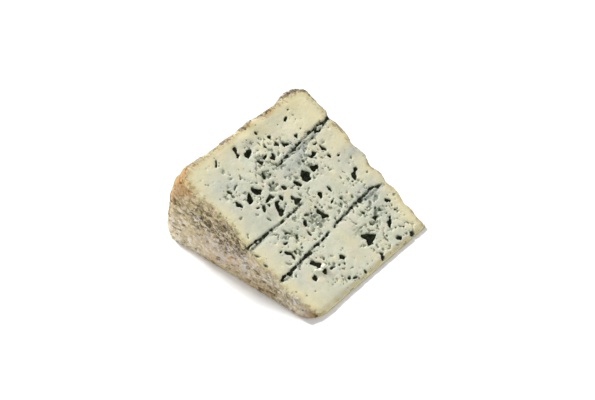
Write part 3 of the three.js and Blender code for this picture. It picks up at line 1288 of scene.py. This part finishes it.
@dataclass(frozen=True)
class RindFinish:
    """The dry natural rind: mottled tan, with rust, brown pits, mauve mould, pale flecks and dark
    washes that are partly painted shade on the rim and the back face.
    """

    tan: Feed = srgb(226, 209, 166)
    umber: Feed = srgb(142, 121, 80)
    olive: Feed = srgb(164, 152, 100)
    rust: Feed = srgb(172, 126, 64)
    brown: Feed = srgb(80, 68, 42)
    mauve: Feed = srgb(200, 180, 168)
    pale: Feed = srgb(238, 229, 208)
    white: Feed = srgb(242, 238, 230)
    lilac: Feed = srgb(204, 202, 208)
    ochre: Feed = srgb(214, 166, 104)

    def group(self, effects: Effects) -> bpy.types.NodeTree:
        """Builds the finish.

        Args:
            effects: The shared groups.

        Returns:
            A group that gives colour, roughness and height in millimetres.
        """
        group = Group("rind look", {
            "Position": "Vector", "Grain": "Vector", "Rust": 0.0, "Dark": 0.0, "Mauve": 0.0,
            "Pale": 0.0, "Pit": 0.0,
        }, LOOK)
        graph, given, brush = group.graph, group.inputs, Brush(effects, group)
        times, between, streaks = graph.times, graph.between, brush.streaks
        # The dark field is the rind's own browning, and on the rim and the back face also painted
        # shade that darkens the faces the key lamp lights hardest.
        thick, violet, light = given["Dark"], given["Mauve"], given["Pale"]

        def mottle(size: float, low: float, high: float, shift: float) -> Feed:
            """Places finely broken clouds."""
            return brush.mottle(size, low, high, Detail=3.0, Shift=shift)

        medium, fine = mottle(2.4, 0.42, 0.58, 0.2), mottle(1.0, 0.40, 0.60, 0.3)
        grooves = streaks(1.2, 2.4, 0.47, 0.63)
        dust = times(mottle(3.2, 0.51, 0.69, 1.7), between(light, 0.15, 0.75))
        inked = times(streaks(1.7, 1.8, 0.50, 0.63), between(thick, 0.04, 0.85))
        colour = graph.coats(
            self.tan, (self.umber, medium, 0.35),
            (self.olive, mottle(5.5, 0.42, 0.60, 0.1), 0.40),
            (self.mauve, mottle(11.0, 0.42, 0.60, 0.5), 0.15),
            # Broad umber wash where the dark field is strong: real browning, and painted shade on
            # the rim and the back face.
            (self.umber, mottle(16.0, 0.40, 0.62, 2.7), between(thick, 0.05, 0.55)),
            (self.mauve, violet, between(medium, 0.85, 0.35)),
            (self.pale, light, between(medium, 0.85, 0.25)), (self.umber, fine, 0.22),
            (self.pale, streaks(1.9, 2.0, 0.50, 0.68), 0.45),
            (self.umber, grooves, between(thick, 0.25, 0.85)),
            (self.rust, given["Rust"], between(fine, 0.60, 1.0)), (self.white, dust),
            (self.lilac, times(mottle(2.8, 0.49, 0.66, 3.3), violet), 0.62),
            (self.ochre, mottle(3.2, 0.54, 0.68, 4.1), between(violet, 0.10, 0.50)),
            (self.brown, inked),
            (self.brown, mottle(2.0, 0.53, 0.68, 5.3), between(thick, 0.20, 0.75)),
            (self.brown, given["Pit"], between(fine, 0.30, 0.80)))
        height = graph.relief((medium, 0.12), (fine, 0.06), (grooves, -0.11), (inked, -0.08),
                              (dust, 0.06))
        return group.give(Color=colour, Roughness=between(fine, 0.82, 0.94), Height=height)


@dataclass(frozen=True)
class MouldFinish:
    """The lining of pockets and channels: blue-green mould, powdery at the lip and almost black
    deeper in, the darkness partly painted shade of the pocket's inside.
    """

    # Almost black: the mould's own dark colour, deepened as painted shade of the pocket's inside.
    deep: Feed = srgb(30, 34, 20)
    shade: Feed = srgb(78, 85, 58)
    lip: Feed = srgb(120, 128, 104)
    brim: Feed = srgb(134, 143, 118)

    def group(self, effects: Effects) -> bpy.types.NodeTree:
        """Builds the finish.

        Args:
            effects: The shared groups.

        Returns:
            A group that gives colour, roughness and height in millimetres.
        """
        group = Group("mould look", {"Position": "Vector", "Hollow": 0.0}, LOOK)
        graph, given = group.graph, group.inputs
        cloud = graph.use(effects.mottle, Position=given["Position"], Size=1.3)[0]
        # Darkest deep in the pocket and paler by the lip: partly the mould's own colour, partly
        # painted shade of the pocket's inside.
        colour = graph.coats(self.deep, (self.shade, cloud, 0.6), (
            self.lip, graph.step(given["Hollow"], 1.1, 0.3), graph.between(cloud, 0.15, 0.75)))
        return group.give(Color=colour, Roughness=0.92, Height=graph.times(cloud, 0.2))


def blank_material(name: str) -> tuple[bpy.types.Material, Graph, Feed]:
    """Makes a material without a surface.

    Args:
        name: The material's name.

    Returns:
        The material, its nodes and its place in the object's own coordinates.
    """
    material = bpy.data.materials.new(name)
    material.use_nodes = True
    material.node_tree.nodes.clear()
    graph = Graph(material.node_tree)
    return material, graph, graph.node("TexCoord")["Object"]


def finish_surface(graph: Graph, colour: Feed, roughness: Feed, height: Feed) -> None:
    """Ends a material in a surface that scatters a little light, as cheese does.

    Args:
        graph: The material's nodes.
        colour: Base colour.
        roughness: Roughness.
        height: Height of the fine relief in millimetres.
    """
    bump = graph.node("Bump", {"Height": height, "Strength": 1.0, "Distance": MM})[0]
    surface = graph.node("BsdfPrincipled", {
        "Base Color": colour, "Roughness": roughness, "Normal": bump, "Subsurface Weight": 0.12,
        "Subsurface Radius": (0.9, 0.85, 0.7), "Subsurface Scale": 1.2 * MM,
        "Specular IOR Level": 0.4})[0]
    graph.node("OutputMaterial", {"Surface": surface}, is_active_output=True)


@dataclass(frozen=True)
class CheeseMaterial:
    """The whole wedge's material: paste, rind and mould lining with painted shade in the hollows,
    each where its field says.
    """

    axis_x: float
    paste: PasteFinish = PasteFinish()
    rind: RindFinish = RindFinish()
    mould: MouldFinish = MouldFinish()

    def grain(self, graph: Graph, place: Feed) -> Feed:
        """Unrolls a place round the wheel's axis, so that X runs along the radius.

        Args:
            graph: The material's nodes.
            place: The place.

        Returns:
            The unrolled place.
        """
        parts = graph.node("SeparateXYZ", {"Vector": place})
        across = graph.math("SUBTRACT", self.axis_x, parts["X"])
        reach = graph.math("SQRT", graph.math("ADD", graph.times(across, across),
                                              graph.times(parts["Z"], parts["Z"])))
        turn = graph.times(graph.math("ARCTAN2", parts["Z"], across), GRAIN_RADIUS)
        return graph.node("CombineXYZ", {"X": reach, "Y": parts["Y"], "Z": turn})[0]

    def build(self, effects: Effects) -> bpy.types.Material:
        """Builds the material.

        Args:
            effects: The shared groups.

        Returns:
            The material.
        """
        material, graph, place = blank_material("blue cheese")
        depth, hollow = graph.fields("Rind", "Hollow").values()
        paste = graph.use(self.paste.group(effects), Position=place, **graph.fields(
            "Rind", "Pore", "Vein", "Tip", "Ripe", "Bloom", "Smear", "Speck", "Mark", "Rust"))
        rind = graph.use(self.rind.group(effects), Position=place, Grain=self.grain(graph, place),
                         **graph.fields("Rust", "Dark", "Mauve", "Pale", "Pit"))
        mould = graph.use(self.mould.group(effects), Position=place, Hollow=hollow)
        wander = graph.use(effects.mottle, Position=place, Size=1.6, Low=0.25, High=0.75)[0]
        skin = graph.step(graph.math("MULTIPLY_ADD", wander, 1.8, depth), 2.4, 1.2)
        # Mould colour, with its painted shade, where a hollow runs deeper than about half a
        # millimetre to a millimetre.
        mould_and_shade_lining = graph.step(graph.math("MULTIPLY_ADD", wander, 0.25, hollow), 0.45, 0.95)
        brim = graph.times(graph.step(hollow, 0.13, 0.30), graph.between(wander, 0.45, 0.85))
        colour = graph.coats(paste["Color"], (self.mould.brim, brim), (rind["Color"], skin),
                             (mould["Color"], mould_and_shade_lining))
        roughness, height = (
            graph.between(mould_and_shade_lining, graph.between(skin, paste[name], rind[name]), mould[name])
            for name in ("Roughness", "Height"))
        finish_surface(graph, colour, roughness, height)
        return material


@dataclass(frozen=True)
class Crumbs:
    """A few loose crumbs of paste that stick to the upper cut."""

    wheel: Wheel
    seed: int = 5
    # Each crumb's share and level on the cut, and its width and length in millimetres.
    places: tuple[tuple[float, float, float, float], ...] = (
        (0.2105, 0.283, 2.0, 3.2), (0.207, 0.252, 1.7, 2.6), (0.217, 0.230, 1.3, 1.7),
        (0.660, 0.268, 0.8, 1.0), (0.375, 0.430, 0.9, 1.2), (0.390, 0.452, 0.7, 0.9),
    )

    def build(self) -> bpy.types.Object:
        """Makes the crumbs as rough lumps.

        Returns:
            One object, with a closed body for each crumb.
        """
        rng = np.random.default_rng(self.seed)
        shape = bmesh.new()
        for share, level, width, length in self.places:
            verts = bmesh.ops.create_icosphere(shape, subdivisions=3, radius=1.0)["verts"]
            shift = Vector(rng.uniform(-20.0, 20.0, 3))
            for vert in verts:
                vert.co *= 1.0 + 0.55 * noise.fractal(vert.co * LUMP_WAVE + shift, 1.0, 2.0, 3)
            placing = self.wheel.placing(Cut.UPPER, share, level, rng.uniform(-30.0, 30.0))
            size = Matrix.Diagonal((0.5 * width * MM, 0.5 * length * MM, 0.45 * width * MM, 1.0))
            lift = Matrix.Translation((0.0, 0.0, 0.22 * width * MM))
            bmesh.ops.transform(shape, matrix=placing @ lift @ size, verts=verts)
        crumbs = object_of("loose_crumbs", shape)
        shade_smooth(crumbs)
        return crumbs

    def material(self, paste: bpy.types.NodeTree) -> bpy.types.Material:
        """Builds the crumbs' material.

        Args:
            paste: The paste's finish.

        Returns:
            The material.
        """
        material, graph, place = blank_material("crumb paste")
        look = graph.use(paste, Position=place, Ripe=0.2)
        colour = graph.blend(0.5, look["Color"], srgb(246, 244, 230))
        finish_surface(graph, colour, look["Roughness"], look["Height"])
        return material


@dataclass(frozen=True)
class Lamp:
    """A square soft light that faces the wedge. Sizes are in metres and power in watts."""

    name: str
    way: tuple[float, float, float]
    distance: float
    size: float
    power: float


@dataclass(frozen=True)
class Studio:
    """The pale floor, the soft lights and the camera.

    Turns are in degrees, the lens is in millimetres and everything else in metres.
    """

    aim: tuple[float, float, float] = (-3.04 * MM, 4.82 * MM, 15.22 * MM)
    azimuth: float = 38.64
    elevation: float = 41.81
    roll: float = 1.42
    distance: float = 0.7956
    lens: float = 96.8
    floor_half: float = 3.0
    floor_drop: float = 0.15 * MM
    sky: float = 0.55
    lamps: tuple[Lamp, ...] = (
        Lamp("key", (-0.76, 0.06, 0.64), 2.4, 0.35, 74.0),
        Lamp("fill", (0.30, -0.70, 0.65), 1.6, 1.2, 3.0),
    )

    def camera(self) -> None:
        """Sets up the camera that looks down on the upper cut."""
        turn, rise = math.radians(self.azimuth), math.radians(self.elevation)
        back = Vector((math.sin(turn) * math.cos(rise), -math.cos(turn) * math.cos(rise),
                       math.sin(rise)))
        right = Vector((math.cos(turn), math.sin(turn), 0.0))
        basis = Matrix((right, back.cross(right), back)).transposed()
        tilt = Matrix.Rotation(math.radians(self.roll), 3, "Z")
        data = bpy.data.cameras.new("camera")
        data.lens = self.lens
        camera = bpy.data.objects.new("camera", data)
        place = Matrix.Translation(Vector(self.aim) + back * self.distance)
        camera.matrix_world = place @ (basis @ tilt).to_4x4()
        bpy.context.scene.collection.objects.link(camera)
        bpy.context.scene.camera = camera

    def light(self, lamp: Lamp) -> None:
        """Hangs one lamp.

        Args:
            lamp: The lamp.
        """
        data = bpy.data.lights.new(lamp.name, "AREA")
        data.size = lamp.size
        data.energy = lamp.power
        light = bpy.data.objects.new(lamp.name, data)
        toward = Vector(lamp.way).normalized()
        light.location = Vector(self.aim) + toward * lamp.distance
        light.rotation_euler = toward.to_track_quat("Z", "Y").to_euler()
        bpy.context.scene.collection.objects.link(light)

    def floor(self) -> None:
        """Lays the plain pale floor."""
        shape = bmesh.new()
        bmesh.ops.create_grid(shape, x_segments=1, y_segments=1, size=self.floor_half,
                              matrix=Matrix.Translation((0.0, 0.0, -self.floor_drop)))
        floor = object_of("floor", shape)
        material = bpy.data.materials.new("pale floor")
        material.use_nodes = True
        surface = material.node_tree.nodes["Principled BSDF"]
        surface.inputs["Base Color"].default_value = srgb(246, 246, 246)
        surface.inputs["Roughness"].default_value = 0.9
        floor.data.materials.append(material)

    def build(self) -> None:
        """Sets up everything that isn't part of the object."""
        self.floor()
        for lamp in self.lamps:
            self.light(lamp)
        world = bpy.data.worlds.new("sky")
        world.use_nodes = True
        sky = world.node_tree.nodes["Background"].inputs
        sky["Color"].default_value = (1.0, 1.0, 1.0, 1.0)
        sky["Strength"].default_value = self.sky
        bpy.context.scene.world = world
        bpy.context.scene.view_settings.view_transform = "Standard"
        self.camera()


def main() -> None:
    """Builds the wedge, its crumbs and the studio, in that order."""
    logging.basicConfig(level=logging.INFO, format="%(message)s")
    wheel = Wheel.from_box(*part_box("cheese_wedge"), tip_cut=3.6 * MM, edge_round=7.0 * MM,
                           corner_round=10.0 * MM)
    effects = Effects.build()
    cheese = CheeseMaterial(wheel.axis_x)

    wedge = Wedge(wheel)
    piece = wedge.body()
    cutter = Hollows(wheel).build(lambda points: speck_density(wheel, points))
    log.info("hollows: %d faces", len(cutter.data.polygons))
    wedge.hollow_out(piece, cutter)
    wedge.weather(piece)
    wedge.thin_out(piece)
    piece.data.materials.append(cheese.build(effects))
    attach(piece, "root")
    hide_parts("cheese_wedge")
    log.info("%s: %d faces", piece.name, len(piece.data.polygons))

    crumbs = Crumbs(wheel)
    loose = crumbs.build()
    loose.data.materials.append(crumbs.material(bpy.data.node_groups["paste look"]))
    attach(loose, "root")
    log.info("%s: %d faces", loose.name, len(loose.data.polygons))

    Studio().build()


if __name__ == "__main__":
    main()
